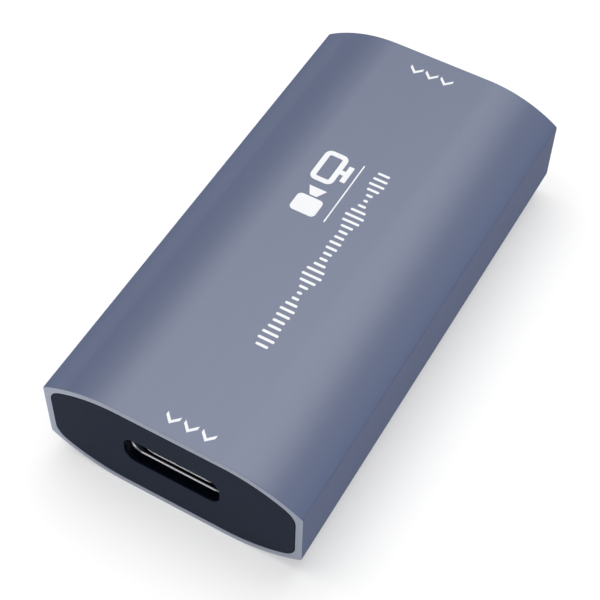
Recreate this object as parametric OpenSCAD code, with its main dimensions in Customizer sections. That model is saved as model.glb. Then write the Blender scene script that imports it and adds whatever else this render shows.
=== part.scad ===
// Video capture box: an extruded aluminium tube closed by two moulded caps, holding a circuit
// board between a video input socket at its +Y end and a data output socket at its -Y end.
// Millimetres. The origin is the middle of the underside, Z is up and the length runs along Y.

/* [Housing] */
// Length of the tube
body_l = 57; // [52:0.5:75]
// Width over the flat sides
body_w = 29; // [26:0.5:40]
// Height over the flat crown and the flat base
body_h = 13.5; // [12.5:0.25:18]
// Height of each flat side
side_h = 7.8; // [7:0.1:9]
// Width of the flat crown and of the flat base
flat_w = 11.4; // [8:0.2:14]
// Wall of the tube
wall = 0.75; // [0.7:0.05:1.2]
// Radius on the outside of each side corner
corner_r = 0.35; // [0.1:0.05:0.6]
// Radius on the inside of each side corner
inner_corner_r = 2.2; // [0.8:0.1:2.6]

/* [Board rails] */
// How far each rail stands out from the side wall
rail_depth = 1.2; // [0.8:0.1:2]
// Thickness of each rail
rail_t = 0.8; // [0.6:0.1:1.2]

/* [End caps] */
// Clearance round each cap in the tube
cap_gap = 0.08; // [0.04:0.02:0.2]
// Depth of the slot in the output cap
slot_depth = 1.3; // [0.8:0.05:2]
// Room in the slot at each end of the data socket
slot_side = 0.93; // [0.8:0.01:1.5]
// Room in the slot above and below a socket in its middle
slot_over = 0.31; // [0.2:0.01:0.8]
// Height of the slot's middle above the data socket's middle
slot_lift = 0.18; // [0:0.01:0.4]
// Corner radius of the slot
slot_r = 1.4; // [0.6:0.1:1.8]
// Thickness of the web behind the slot
web_t = 0.7; // [0.5:0.05:1.5]
// Clearance round the data socket in the web
hole_gap = 0.2; // [0.1:0.05:0.4]
// Clearance round the video socket in its cap
port_gap = 0.12; // [0.05:0.01:0.3]
// Length of each side tab
tab_l = 5; // [3:0.5:8]
// Thickness of each side tab
tab_t = 1; // [0.6:0.1:1.5]
// Height of each side tab
tab_h = 3; // [1.5:0.1:4]
// Width of the crush rib on each side tab
crush_w = 0.6; // [0.3:0.1:1]
// Thickness of each rest under the board
rest_t = 1; // [0.6:0.1:1.5]
// Width of each rest
rest_w = 2.4; // [1:0.1:3]
// Length of each rest
rest_l = 2; // [1:0.1:4]
// Distance from the middle to each rest
rest_x = 9.2; // [8.5:0.1:10]

/* [Slot trim ring] */
// Sheet metal of the ring
trim_t = 0.2; // [0.1:0.05:0.4]
// Width of the ring's face
trim_w = 0.2; // [0.1:0.05:0.4]
// Clearance round the ring in the slot
trim_gap = 0.03; // [0.02:0.01:0.1]
// Distance from the web's face back to the data socket's mouth
mouth_gap = 0.2; // [0.1:0.05:0.5]

/* [Circuit board] */
// Thickness of the board
board_t = 1.2; // [0.8:0.1:1.6]
// Clearance over and under the board in its grooves
board_gap = 0.05; // [0.02:0.01:0.2]
// Clearance between the board's long edges and the tube
board_side_gap = 0.25; // [0.1:0.05:0.5]
// Clearance between the board's short edges and the caps
board_end_gap = 0.2; // [0.1:0.05:0.5]
// Clearance round each socket leg in the board
leg_gap = 0.1; // [0.05:0.01:0.2]
// Length of each socket leg below the board
leg_proud = 0.7; // [0.4:0.1:1]
// Clearance round each socket's block in its shell
block_gap = 0.05; // [0.02:0.01:0.1]
// Radius of each solder joint at the board
joint_r = 0.85; // [0.75:0.05:1]
// Height of each solder joint
joint_h = 0.5; // [0.3:0.1:0.8]

/* [Data socket] */
// Height of the socket's centre above the middle of the end face
data_rise = 0.25; // [0:0.01:0.6]
// Width of the mouth
data_open_w = 8.34; // [8:0.01:9]
// Height of the mouth
data_open_h = 2.56; // [2.4:0.01:2.8]
// Sheet metal of the shell
data_shell_t = 0.3; // [0.2:0.05:0.4]
// Length of the shell
data_shell_l = 7.35; // [6.5:0.05:9]
// Width of the tongue
data_tongue_w = 6.69; // [6.4:0.01:7]
// Thickness of the tongue
data_tongue_t = 0.7; // [0.6:0.05:0.9]
// Distance from the mouth back to the tongue's tip
data_tongue_set = 0.3; // [0.1:0.1:1]
// Length of the block that fills the shell's rear
data_block_l = 2.2; // [1.5:0.1:3]
// Contacts in each of the two rows
data_contacts_n = 12; // [8:1:12]
// Pitch of the contacts
data_pitch = 0.5; // [0.4:0.05:0.5]
// Width of a contact
data_contact_w = 0.25; // [0.15:0.01:0.3]
// Thickness of a contact
data_contact_t = 0.1; // [0.08:0.01:0.15]
// Distance behind the shell of the lower row's legs
data_near_leg = 0.1; // [0.05:0.05:0.3]
// Distance behind the shell of the upper row's legs
data_far_leg = 0.9; // [0.8:0.1:1.5]
// Length of a contact's foot
data_foot_l = 0.4; // [0.2:0.05:0.5]
// Thickness of the mid plate
mid_plate_t = 0.15; // [0.1:0.01:0.2]
// Plastic left in front of the mid plate and behind it
mid_plate_cover = 0.4; // [0.2:0.1:0.8]
// Width of each shell leg
data_leg_w = 0.9; // [0.5:0.1:1.2]
// Distance from the mouth to the front legs
data_leg_front = 2.4; // [2:0.1:3]
// Distance from the front legs to the rear legs
data_leg_span = 4; // [3:0.1:4.4]

/* [Video socket] */
// Distance from the cap's face back to the mouth
video_set = 0.3; // [0:0.1:1]
// Width of the mouth
video_open_w = 14; // [13.8:0.05:14.4]
// Height of the mouth
video_open_h = 4.55; // [4.4:0.05:4.8]
// Width of the mouth's narrower bottom
video_base_w = 10.4; // [9:0.1:11]
// Height of the sloping sides below the upright ones
video_slope_h = 1.9; // [1.2:0.1:2.4]
// Sheet metal of the shell
video_shell_t = 0.3; // [0.2:0.05:0.4]
// Length of the shell
video_shell_l = 11.2; // [10:0.1:13]
// Width of the tongue
video_tongue_w = 10.8; // [10:0.1:11.4]
// Thickness of the tongue
video_tongue_t = 1.4; // [1:0.1:1.8]
// Height of the tongue's middle above the mouth's middle
video_tongue_rise = 0.2; // [0:0.05:0.4]
// Distance from the mouth back to the tongue's tip
video_tongue_set = 1.2; // [0.8:0.1:2]
// Length of the block that fills the shell's rear
video_block_l = 3.6; // [2.5:0.1:5]
// Contacts in the upper row, with one fewer in the lower row
video_contacts_n = 10; // [6:1:10]
// Pitch of the contacts in a row
video_pitch = 1; // [0.9:0.05:1]
// Width of a contact
video_contact_w = 0.35; // [0.2:0.01:0.4]
// Thickness of a contact
video_contact_t = 0.15; // [0.1:0.01:0.2]
// Distance behind the shell of the contacts' legs
video_leg_set = 0.3; // [0.1:0.05:0.6]
// Length of a contact's foot
video_foot_l = 0.8; // [0.4:0.1:1.2]
// Width of each spring finger
finger_w = 1.6; // [1:0.1:2]
// Length of each spring finger
finger_l = 4; // [3:0.1:5]
// How far each finger's tip dips into the mouth
finger_dip = 0.3; // [0.1:0.05:0.4]
// Gap stamped round each finger
finger_gap = 0.25; // [0.15:0.05:0.4]
// Distance from the mouth to the fingers' tips
finger_set = 2; // [1:0.1:2.5]
// Distance between the two fingers of a pair, middle to middle
finger_pitch = 6.4; // [5:0.1:7]
// Width of each shell leg
video_leg_w = 1.1; // [0.7:0.1:1.3]
// Distance from the mouth to the front legs
video_leg_front = 4.4; // [3.6:0.1:5]
// Distance from the front legs to the rear legs
video_leg_span = 5.4; // [4:0.1:5.8]

/* [Chips] */
// Side of the capture processor
processor_w = 9; // [7:0.5:10]
// Thickness of the capture processor
processor_h = 0.85; // [0.6:0.05:1.2]
// Place of the capture processor on the board
processor_at = [0, 0]; // [-3:0.1:3]
// Side of the thermal pad
pad_w = 8.4; // [6:0.1:10]
// Length of the lane switch across the board
lane_switch_w = 5.5; // [3:0.1:6]
// Width of the lane switch along the board
lane_switch_l = 3.5; // [2:0.1:4]
// Thickness of the leadless chips
leadless_h = 0.75; // [0.5:0.05:1]
// Room between the board's long edges and the parts beside them
edge_room = 3.4; // [2:0.1:4]
// Room between a socket's contact feet and the nearest chips
socket_room = 1; // [0.5:0.1:1.5]
// Length of the memory's body
memory_l = 4.9; // [4:0.1:5.5]
// Width of the memory's body
memory_w = 3.9; // [3:0.1:4.5]
// Height of the memory's body
memory_h = 1.5; // [1:0.1:1.8]
// Place of the memory along the board
memory_y = 5; // [-8:0.1:8]
// Length of each regulator's body
regulator_l = 2.9; // [2.5:0.1:3.2]
// Width of each regulator's body
regulator_w = 1.6; // [1.4:0.1:1.8]
// Height of each regulator's body
regulator_h = 1.1; // [0.9:0.1:1.3]
// Place of the core regulator on the board
core_regulator_at = [3, -6.5]; // [-8:0.1:8]
// Place of the supply regulator for the inputs and outputs
io_regulator_at = [-2, -6.5]; // [-8:0.1:8]
// Thickness of a chip's leads
lead_t = 0.15; // [0.1:0.05:0.2]
// Width of a chip's leads
lead_w = 0.4; // [0.3:0.05:0.45]
// How far a chip's leads reach out from its body
lead_reach = 0.9; // [0.5:0.1:1.1]

/* [Small parts] */
// Length of the crystal's can
crystal_l = 3.2; // [2:0.1:5]
// Width of the crystal's can
crystal_w = 2.5; // [1.6:0.1:3.2]
// Height of the crystal's base
crystal_base_h = 0.45; // [0.3:0.05:0.6]
// Height of the crystal's lid
crystal_lid_h = 0.3; // [0.2:0.05:0.5]
// Ledge of the crystal's base round its lid
crystal_ledge = 0.15; // [0.1:0.05:0.3]
// Place of the crystal along the board
crystal_y = 5; // [-8:0.1:8]
// Side of the inductor
inductor_w = 4; // [3:0.1:5]
// Height of the inductor
inductor_h = 2; // [1.2:0.1:3]
// Width of each inductor terminal
inductor_end_w = 0.9; // [0.5:0.1:1.2]
// Thickness of each inductor terminal
inductor_end_t = 0.15; // [0.1:0.05:0.3]
// Place of the inductor along the board
inductor_y = -5.5; // [-8:0.1:8]
// Length, width and height of a reservoir capacitor
reservoir_size = [3.2, 1.6, 1.6]; // [0.5:0.1:4]
// Reservoir capacitors in their row
reservoir_n = 3; // [1:1:3]
// Pitch of the reservoir capacitors
reservoir_pitch = 2.5; // [2:0.1:3]
// Place of the first reservoir capacitor along the board
reservoir_y = -8; // [-9:0.1:0]
// Length, width and height of a decoupling capacitor
decoupler_size = [1, 0.5, 0.5]; // [0.3:0.05:1.6]
// Decoupling capacitors on each side of the processor
decoupler_n = 4; // [1:1:5]
// Room between the processor and its capacitors
decoupler_room = 0.8; // [0.4:0.1:1.5]
// Length, width and height of a resistor
resistor_size = [1, 0.5, 0.35]; // [0.3:0.05:1.6]
// Resistors in each of the two rows
resistor_n = 6; // [1:1:8]
// Pitch of the resistors
resistor_pitch = 1.1; // [0.8:0.1:1.5]
// Distance from the middle to each row of resistors
resistor_x = 2; // [1:0.1:3]
// Place of the first resistors along the board
resistor_y = -2.6; // [-4:0.1:0]
// Length of a small part's end terminals
terminal_l = 0.2; // [0.1:0.05:0.25]
// How far the terminals stand out from the body of a small part
terminal_proud = 0.02; // [0.01:0.01:0.05]
// Length, width and height of a surge protector
surge_size = [2.5, 1, 0.5]; // [0.3:0.05:3]
// Surge protectors in their row
surge_n = 3; // [1:1:4]
// Pitch of the surge protectors
surge_pitch = 3.6; // [2.8:0.1:4.5]

/* [Hidden] */
$fn = 64;
SIDES = [-1, 1];
CUT = 1; // how far a cutter runs past the face that it opens

// Shoulder arc, tangent to the flat crown and through the top of the flat side
shoulder_x = (body_w - flat_w) / 2;
shoulder_z = (body_h - side_h) / 2;
shoulder_r = (shoulder_x * shoulder_x + shoulder_z * shoulder_z) / (2 * shoulder_z);
shoulder_mid = body_h / 2 - shoulder_r;

inner_x = body_w / 2 - wall;
face_t = slot_depth + web_t;

// Board
data_shell_w = data_open_w + 2 * data_shell_t;
data_shell_h = data_open_h + 2 * data_shell_t;
data_z = body_h / 2 + data_rise;
board_top = data_z - data_shell_h / 2;
board_under = board_top - board_t;
board_w = 2 * (inner_x - board_side_gap);
board_l = body_l - 2 * (face_t + board_end_gap);

// Slot in the output cap
slot_w = data_shell_w + 2 * slot_side;
slot_h = data_shell_h + 2 * slot_over;
slot_z = data_z + slot_lift;

// Sockets: heights are above the board and depths are behind the mouth
data_mouth = slot_depth + mouth_gap - body_l / 2;
data_mid = data_shell_h / 2;
data_tails = data_shell_l + data_far_leg + data_contact_t + data_foot_l;
video_mouth = body_l / 2 - video_set;
video_mid = video_shell_t + video_open_h / 2;
video_tails = video_shell_l + video_leg_set + video_contact_t + video_foot_l;

// Outlines in X and Z, and how they are run along Y

module run_y(from, length) {
    translate([0, from + length, 0]) rotate([90, 0, 0]) linear_extrude(length) children();
}

module four_ways() {
    for (x = [0, 1], z = [0, 1]) mirror([x, 0]) mirror([0, z]) children();
}

// Body section, drawn in by inset, before its corners are rounded
module sharp_section(inset) {
    half_w = body_w / 2 - inset;
    half_h = body_h / 2 - inset;
    for (z = [0, 1]) mirror([0, z]) intersection() {
        translate([-half_w, 0]) square([2 * half_w, half_h]);
        union() {
            translate([-flat_w / 2, 0]) square([flat_w, half_h]);
            for (x = SIDES) translate([x * flat_w / 2, shoulder_mid]) circle(shoulder_r - inset);
        }
    }
}

// What rounding takes off one corner: a wedge less the round itself
module corner_waste(inset, r) {
    half_w = body_w / 2 - inset;
    arc_r = shoulder_r - inset;
    x = half_w - r;
    z = shoulder_mid + sqrt(pow(arc_r - r, 2) - pow(x - flat_w / 2, 2));
    out = [x - flat_w / 2, z - shoulder_mid] / (arc_r - r);
    far = [half_w + CUT, z + 2 * r + CUT];
    difference() {
        polygon([[x, z], [half_w + CUT, z], far, [x, z] + (r + CUT) * out]);
        translate([x, z]) circle(r);
    }
}

module body_section(inset, r) {
    translate([0, body_h / 2]) difference() {
        sharp_section(inset);
        four_ways() corner_waste(inset, r);
    }
}

module inner_section(gap = 0) {
    body_section(wall + gap, inner_corner_r - gap);
}

module rounded_slot(w, h, r) {
    square([w, h - 2 * r], center = true);
    square([w - 2 * r, h], center = true);
    for (x = SIDES, z = SIDES) translate([x * (w / 2 - r), z * (h / 2 - r)]) circle(r);
}

module round_ended(w, h) {
    square([w - h, h], center = true);
    for (x = SIDES) translate([x * (w - h) / 2, 0]) circle(h / 2);
}

// Outline of the data socket, standing on the board, grown from its mouth
module data_outline(grow) {
    translate([0, data_mid]) round_ended(data_open_w + 2 * grow, data_open_h + 2 * grow);
}

// Outline of the video socket, with sloping lower sides, grown from its mouth
module video_outline(grow) {
    run = (video_open_w - video_base_w) / 2;
    lean = sqrt(run * run + video_slope_h * video_slope_h);
    x_top = video_open_w / 2 + grow;
    x_base = video_base_w / 2 + grow * (lean - run) / video_slope_h;
    z_top = video_open_h + grow;
    z_slope = video_slope_h + grow * (video_slope_h - lean) / run;
    half = [[x_base, -grow], [x_top, z_slope], [x_top, z_top]];
    other = [for (i = [2 : -1 : 0]) [-half[i][0], half[i][1]]];
    translate([0, video_shell_t]) polygon(concat(half, other));
}

// Places

module at_data_socket() {
    translate([0, data_mouth, board_top]) children();
}

module at_video_socket() {
    translate([0, video_mouth, board_top]) rotate([0, 0, 180]) children();
}

module on_board(at) {
    translate([at[0], at[1], board_top]) children();
}

module under_board(at) {
    translate([at[0], at[1], board_under]) mirror([0, 0, 1]) children();
}

// Housing and caps

module housing_tube() {
    rail_end = body_l / 2 - face_t - tab_l;
    rail_w = rail_depth + wall / 2;
    color([0.53, 0.56, 0.64]) union() {
        run_y(-body_l / 2, body_l) difference() {
            body_section(0, corner_r);
            inner_section();
        }
        for (x = [0, 1], z = [board_under - board_gap - rail_t, board_top + board_gap])
            mirror([x, 0, 0]) translate([inner_x - rail_depth, -rail_end, z])
                cube([rail_w, 2 * rail_end, rail_t]);
    }
}

// A tab lies along each side wall above the board and stops against a rail
module cap_tab() {
    base = board_top + board_gap;
    intersection() {
        translate([inner_x - cap_gap - tab_t, 0, base]) cube([tab_t + cap_gap, face_t + tab_l, tab_h]);
        run_y(0, face_t + tab_l) inner_section(cap_gap);
    }
    translate([inner_x - cap_gap - tab_t / 2, face_t, base + (tab_h - crush_w) / 2])
        cube([tab_t / 2 + cap_gap, tab_l, crush_w]);
}

module cap_rest() {
    translate([rest_x, face_t / 2, board_under - rest_t]) cube([rest_w, face_t / 2 + rest_l, rest_t]);
}

// Plate, tabs and rests, with the outer face at y = 0 and the inside towards +Y
module cap_blank() {
    run_y(0, face_t) inner_section(cap_gap);
    for (x = [0, 1]) mirror([x, 0, 0]) {
        cap_tab();
        cap_rest();
    }
}

// The slot's outline, grown all round
module slot_outline(grow, r) {
    translate([0, slot_z]) rounded_slot(slot_w + 2 * grow, slot_h + 2 * grow, r);
}

// The slot ends at a web, and the data socket's mouth shows through a hole in the web
module output_end_cap() {
    color([0.15, 0.16, 0.19]) translate([0, -body_l / 2, 0]) difference() {
        cap_blank();
        run_y(-CUT, slot_depth + CUT) slot_outline(0, slot_r);
        translate([0, 0, board_top]) run_y(-CUT, face_t + 2 * CUT) data_outline(data_shell_t + hole_gap);
    }
}

// A bright ring pressed into the slot, flat against the web
module slot_trim_ring() {
    inner_grow = -trim_gap - trim_w;
    color([0.75, 0.76, 0.78]) run_y(slot_depth - trim_t - body_l / 2, trim_t) difference() {
        slot_outline(-trim_gap, slot_r - trim_gap);
        slot_outline(inner_grow, slot_r + inner_grow);
    }
}

module input_end_cap() {
    color([0.15, 0.16, 0.19]) translate([0, body_l / 2, 0]) rotate([0, 0, 180]) difference() {
        cap_blank();
        translate([0, 0, board_top])
            run_y(-CUT, face_t + 2 * CUT) video_outline(video_shell_t + port_gap);
    }
}

// Sockets, drawn with the mouth at y = 0, the inside towards +Y and the board at z = 0

module shell_legs(side_x, sheet, leg_w, front, span, rise, gap = 0) {
    for (x = [0, 1], y = [front, front + span])
        mirror([x, 0, 0]) translate([side_x - sheet - gap, y - leg_w / 2 - gap, -board_t - leg_proud])
            cube([sheet + 2 * gap, leg_w + 2 * gap, board_t + leg_proud + rise]);
}

module data_legs(gap = 0, rise = data_mid) {
    shell_legs(data_shell_w / 2, data_shell_t, data_leg_w, data_leg_front, data_leg_span, rise, gap);
}

module video_legs(gap = 0, rise = video_mid) {
    shell_legs(video_open_w / 2 + video_shell_t, video_shell_t, video_leg_w, video_leg_front,
        video_leg_span, rise, gap);
}

// One contact: a run along the tongue, a leg behind the block and a foot on the board
module contact(x, tip, leg, z, w, t, foot) {
    translate([x - w / 2, tip, z]) cube([w, leg + t - tip, t]);
    translate([x - w / 2, leg, 0]) cube([w, t, z + t]);
    translate([x - w / 2, leg, 0]) cube([w, t + foot, t]);
}

module data_contact_set() {
    tip = data_tongue_set + mid_plate_cover;
    lower_z = data_mid - data_tongue_t / 2;
    upper_z = data_mid + data_tongue_t / 2 - data_contact_t;
    for (i = [0 : data_contacts_n - 1]) {
        x = (i - (data_contacts_n - 1) / 2) * data_pitch;
        contact(x, tip, data_shell_l + data_near_leg, lower_z, data_contact_w, data_contact_t, data_foot_l);
        contact(x, tip, data_shell_l + data_far_leg, upper_z, data_contact_w, data_contact_t, data_foot_l);
    }
}

module data_mid_plate_blank() {
    front = data_tongue_set + mid_plate_cover;
    translate([-data_tongue_w / 2, front, data_mid - mid_plate_t / 2])
        cube([data_tongue_w, data_shell_l - mid_plate_cover - front, mid_plate_t]);
}

module data_socket_shell() {
    color([0.75, 0.76, 0.78]) at_data_socket() union() {
        run_y(0, data_shell_l) difference() {
            data_outline(data_shell_t);
            data_outline(0);
        }
        data_legs();
    }
}

module data_socket_insulator() {
    block = data_shell_l - data_block_l;
    color([0.12, 0.12, 0.13]) at_data_socket() difference() {
        union() {
            run_y(block, data_block_l) data_outline(-block_gap);
            translate([-data_tongue_w / 2, data_tongue_set, data_mid - data_tongue_t / 2])
                cube([data_tongue_w, data_shell_l - data_tongue_set, data_tongue_t]);
        }
        data_contact_set();
        data_mid_plate_blank();
    }
}

module data_socket_mid_plate() {
    color([0.62, 0.63, 0.65]) at_data_socket() data_mid_plate_blank();
}

module data_socket_contacts() {
    color([0.83, 0.68, 0.35]) at_data_socket() data_contact_set();
}

module video_contact_set() {
    mid = video_mid + video_tongue_rise;
    leg = video_shell_l + video_leg_set;
    tip = video_tongue_set + video_contact_w;
    for (row = [0, 1], i = [0 : video_contacts_n - 1 - row]) {
        x = (i - (video_contacts_n - 1 - row) / 2) * video_pitch;
        z = row == 0 ? mid + video_tongue_t / 2 - video_contact_t : mid - video_tongue_t / 2;
        contact(x, tip, leg, z, video_contact_w, video_contact_t, video_foot_l);
    }
}

// A window in the sheet round one finger, and the finger itself, with z = 0 at the sheet's outer face
module finger_window() {
    translate([-finger_w / 2 - finger_gap, finger_set - finger_gap, -CUT])
        cube([finger_w + 2 * finger_gap, finger_l + finger_gap, 2 * CUT]);
}

module finger_strip() {
    root = finger_set + finger_l;
    dip = [0, -finger_dip];
    top = [[root, 0], [finger_set, 0] + dip];
    sheet = [0, -video_shell_t];
    translate([-finger_w / 2, 0, 0]) rotate([90, 0, 90]) linear_extrude(finger_w)
        polygon([top[0], top[1], top[1] + sheet, top[0] + sheet]);
}

module each_finger() {
    for (x = SIDES) translate([x * finger_pitch / 2, 0, 0]) {
        translate([0, 0, video_open_h + 2 * video_shell_t]) children();
        mirror([0, 0, 1]) children();
    }
}

module video_socket_shell() {
    color([0.75, 0.76, 0.78]) at_video_socket() union() {
        difference() {
            run_y(0, video_shell_l) difference() {
                video_outline(video_shell_t);
                video_outline(0);
            }
            each_finger() finger_window();
        }
        each_finger() finger_strip();
        video_legs();
    }
}

module video_socket_insulator() {
    block = video_shell_l - video_block_l;
    mid = video_mid + video_tongue_rise;
    color([0.12, 0.12, 0.13]) at_video_socket() difference() {
        union() {
            run_y(block, video_block_l) video_outline(-block_gap);
            translate([-video_tongue_w / 2, video_tongue_set, mid - video_tongue_t / 2])
                cube([video_tongue_w, video_shell_l - video_tongue_set, video_tongue_t]);
        }
        video_contact_set();
    }
}

module video_socket_contacts() {
    color([0.83, 0.68, 0.35]) at_video_socket() video_contact_set();
}

// Circuit board and what is soldered to it

module circuit_board() {
    color([0.1, 0.32, 0.2]) difference() {
        translate([-board_w / 2, -board_l / 2, board_under]) cube([board_w, board_l, board_t]);
        at_data_socket() data_legs(leg_gap, CUT);
        at_video_socket() video_legs(leg_gap, CUT);
    }
}

module joint_cones(x, front, span) {
    for (side = SIDES, y = [front, front + span])
        translate([side * x, y, -board_t - joint_h]) cylinder(h = joint_h, r1 = joint_r / 2, r2 = joint_r);
}

module socket_solder_joints() {
    color([0.78, 0.79, 0.8]) {
        at_data_socket() difference() {
            joint_cones((data_shell_w - data_shell_t) / 2, data_leg_front, data_leg_span);
            data_legs();
        }
        at_video_socket() difference() {
            joint_cones((video_open_w + video_shell_t) / 2, video_leg_front, video_leg_span);
            video_legs();
        }
    }
}

// A leadless package, standing on z = 0
module leadless_chip(w, l, h) {
    translate([-w / 2, -l / 2, 0]) cube([w, l, h]);
}

module gull_lead(body_w, seat) {
    half = lead_reach / 2;
    translate([body_w / 2 - lead_t, -lead_w / 2, seat]) cube([half + lead_t, lead_w, lead_t]);
    translate([body_w / 2 + half - lead_t, -lead_w / 2, 0]) cube([lead_t, lead_w, seat + lead_t]);
    translate([body_w / 2 + half - lead_t, -lead_w / 2, 0]) cube([half + lead_t, lead_w, lead_t]);
}

// A package with bent leads at the given places along its two long sides
module leaded_chip(w, l, h, right, left) {
    lift = lead_t;
    seat = h / 2;
    translate([-w / 2, -l / 2, lift]) cube([w, l, h - lift]);
    for (y = right) translate([0, y, 0]) gull_lead(w, seat);
    for (y = left) mirror([1, 0, 0]) translate([0, y, 0]) gull_lead(w, seat);
}

// A two-ended part lying along X: its body and two end terminals that stand a little proud
module two_ended(size) {
    inset = [0, terminal_proud, 0];
    translate([-size[0] / 2, -size[1] / 2, 0] + inset)
        cube(size - [0, 2 * terminal_proud, terminal_proud]);
    for (x = [0, 1]) mirror([x, 0, 0]) translate([size[0] / 2 - terminal_l, -size[1] / 2, 0])
        cube([terminal_l, size[1], size[2]]);
}

module capture_processor() {
    color([0.1, 0.1, 0.11]) under_board(processor_at) leadless_chip(processor_w, processor_w, processor_h);
}

module thermal_pad() {
    color([0.45, 0.62, 0.78]) intersection() {
        translate([processor_at[0] - pad_w / 2, processor_at[1] - pad_w / 2, 0])
            cube([pad_w, pad_w, board_under - processor_h]);
        run_y(-body_l / 2, body_l) inner_section();
    }
}

module lane_switch() {
    y = data_mouth + data_tails + socket_room + lane_switch_l / 2;
    color([0.1, 0.1, 0.11]) on_board([0, y]) leadless_chip(lane_switch_w, lane_switch_l, leadless_h);
}

module settings_memory() {
    pitch = memory_l / 4;
    leads = [for (i = [0 : 3]) (i - 1.5) * pitch];
    x = board_w / 2 - edge_room - lead_reach - memory_w / 2;
    color([0.1, 0.1, 0.11]) on_board([x, memory_y])
        leaded_chip(memory_w, memory_l, memory_h, leads, leads);
}

module regulator() {
    pitch = regulator_l / 3;
    leaded_chip(regulator_w, regulator_l, regulator_h, [-pitch, pitch], [-pitch, 0, pitch]);
}

module core_regulator() {
    color([0.1, 0.1, 0.11]) on_board(core_regulator_at) regulator();
}

module io_regulator() {
    color([0.1, 0.1, 0.11]) on_board(io_regulator_at) regulator();
}

module crystal() {
    lid_l = crystal_l - 2 * crystal_ledge;
    lid_w = crystal_w - 2 * crystal_ledge;
    x = edge_room + crystal_l / 2 - board_w / 2;
    color([0.78, 0.78, 0.76]) on_board([x, crystal_y]) {
        leadless_chip(crystal_l, crystal_w, crystal_base_h);
        leadless_chip(lid_l, lid_w, crystal_base_h + crystal_lid_h);
    }
}

module power_inductor() {
    core_w = inductor_w - 2 * inductor_end_t;
    x = board_w / 2 - edge_room - inductor_w / 2;
    color([0.3, 0.3, 0.32]) on_board([x, inductor_y]) {
        leadless_chip(core_w, inductor_w, inductor_h);
        for (x = [0, 1]) mirror([x, 0, 0]) translate([core_w / 2, -inductor_end_w / 2, 0])
            cube([inductor_end_t, inductor_end_w, inductor_h / 2]);
    }
}

module reservoir_capacitors() {
    x = edge_room + reservoir_size[0] / 2 - board_w / 2;
    color([0.68, 0.55, 0.4]) for (i = [0 : reservoir_n - 1])
        on_board([x, reservoir_y + i * reservoir_pitch]) two_ended(reservoir_size);
}

// A row of capacitors along each side of the processor, on the same face of the board
module decoupling_capacitors() {
    pitch = processor_w / decoupler_n;
    out = processor_w / 2 + decoupler_room;
    color([0.68, 0.55, 0.4]) under_board(processor_at)
        for (turn = [0 : 90 : 270], i = [0 : decoupler_n - 1])
            rotate([0, 0, turn]) translate([out, (i - (decoupler_n - 1) / 2) * pitch, 0])
                two_ended(decoupler_size);
}

module signal_resistors() {
    color([0.16, 0.16, 0.17]) for (x = SIDES, i = [0 : resistor_n - 1])
        on_board([x * resistor_x, resistor_y + i * resistor_pitch]) two_ended(resistor_size);
}

module surge_protectors() {
    y = video_mouth - video_tails - socket_room - surge_size[1] / 2;
    color([0.1, 0.1, 0.11]) for (i = [0 : surge_n - 1])
        on_board([(i - (surge_n - 1) / 2) * surge_pitch, y]) two_ended(surge_size);
}

housing_tube();
output_end_cap();
slot_trim_ring();
input_end_cap();
circuit_board();
data_socket_shell();
data_socket_insulator();
data_socket_mid_plate();
data_socket_contacts();
video_socket_shell();
video_socket_insulator();
video_socket_contacts();
socket_solder_joints();
capture_processor();
thermal_pad();
lane_switch();
settings_memory();
crystal();
core_regulator();
io_regulator();
power_inductor();
reservoir_capacitors();
decoupling_capacitors();
signal_resistors();
surge_protectors();
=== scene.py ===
"""The looks of a small video capture box: its pieces, finishes, floor, light and camera."""

import math

import bmesh
import bpy
from mathutils import Matrix, Vector


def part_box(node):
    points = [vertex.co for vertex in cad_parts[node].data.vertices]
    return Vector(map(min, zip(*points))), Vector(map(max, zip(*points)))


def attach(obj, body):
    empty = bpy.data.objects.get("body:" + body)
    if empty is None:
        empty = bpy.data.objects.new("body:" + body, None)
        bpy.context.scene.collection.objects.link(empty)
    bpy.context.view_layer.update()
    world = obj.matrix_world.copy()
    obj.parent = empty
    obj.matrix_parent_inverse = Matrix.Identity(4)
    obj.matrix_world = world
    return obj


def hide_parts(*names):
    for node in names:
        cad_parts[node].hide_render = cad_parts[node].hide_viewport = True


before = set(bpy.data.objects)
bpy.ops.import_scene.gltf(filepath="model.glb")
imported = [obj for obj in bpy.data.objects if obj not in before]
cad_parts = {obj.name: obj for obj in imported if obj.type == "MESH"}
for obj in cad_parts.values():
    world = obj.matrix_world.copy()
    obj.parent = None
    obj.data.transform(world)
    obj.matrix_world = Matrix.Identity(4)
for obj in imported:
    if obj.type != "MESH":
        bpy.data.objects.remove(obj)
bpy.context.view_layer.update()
scene = bpy.context.scene

MM = 0.001
TINY = 0.0005 * MM
# Angles between faces: one flat, a fold in sheet metal, the limit of smooth shading, a cut edge
FLAT_ANGLE = math.radians(1)
FOLD_ANGLE = math.radians(30)
SMOOTH_ANGLE = math.radians(35)
CUT_ANGLE = math.radians(40)
# A face whose normal lies further along Y than this looks towards an end of the box
END_FACING = 0.5
# Loops in one plane are bridged rightly only while they are drawn apart
LOFT_APART = 100 * MM

# Housing: its box from the pack, then its section
TUBE_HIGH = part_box("housing_tube")[1]
HALF_W = TUBE_HIGH.x
HALF_L = TUBE_HIGH.y
TOP = TUBE_HIGH.z
MID = TOP / 2
FLAT_W = 11.4 * MM
SIDE_H = 7.8 * MM
WALL = 0.75 * MM
OUTER_R = 0.35 * MM
INNER_R = 2.2 * MM
RIM_EASE = 0.06 * MM
BORE_EASE = 0.03 * MM
SHOULDER_STEPS = 20
CORNER_STEPS = 6
SIDE_MARGIN = 0.3 * MM
RAIL_DEPTH = 1.2 * MM
RAIL_T = 0.8 * MM
RAIL_SINK = 0.05 * MM
BOARD_GAP = 0.05 * MM

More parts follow.
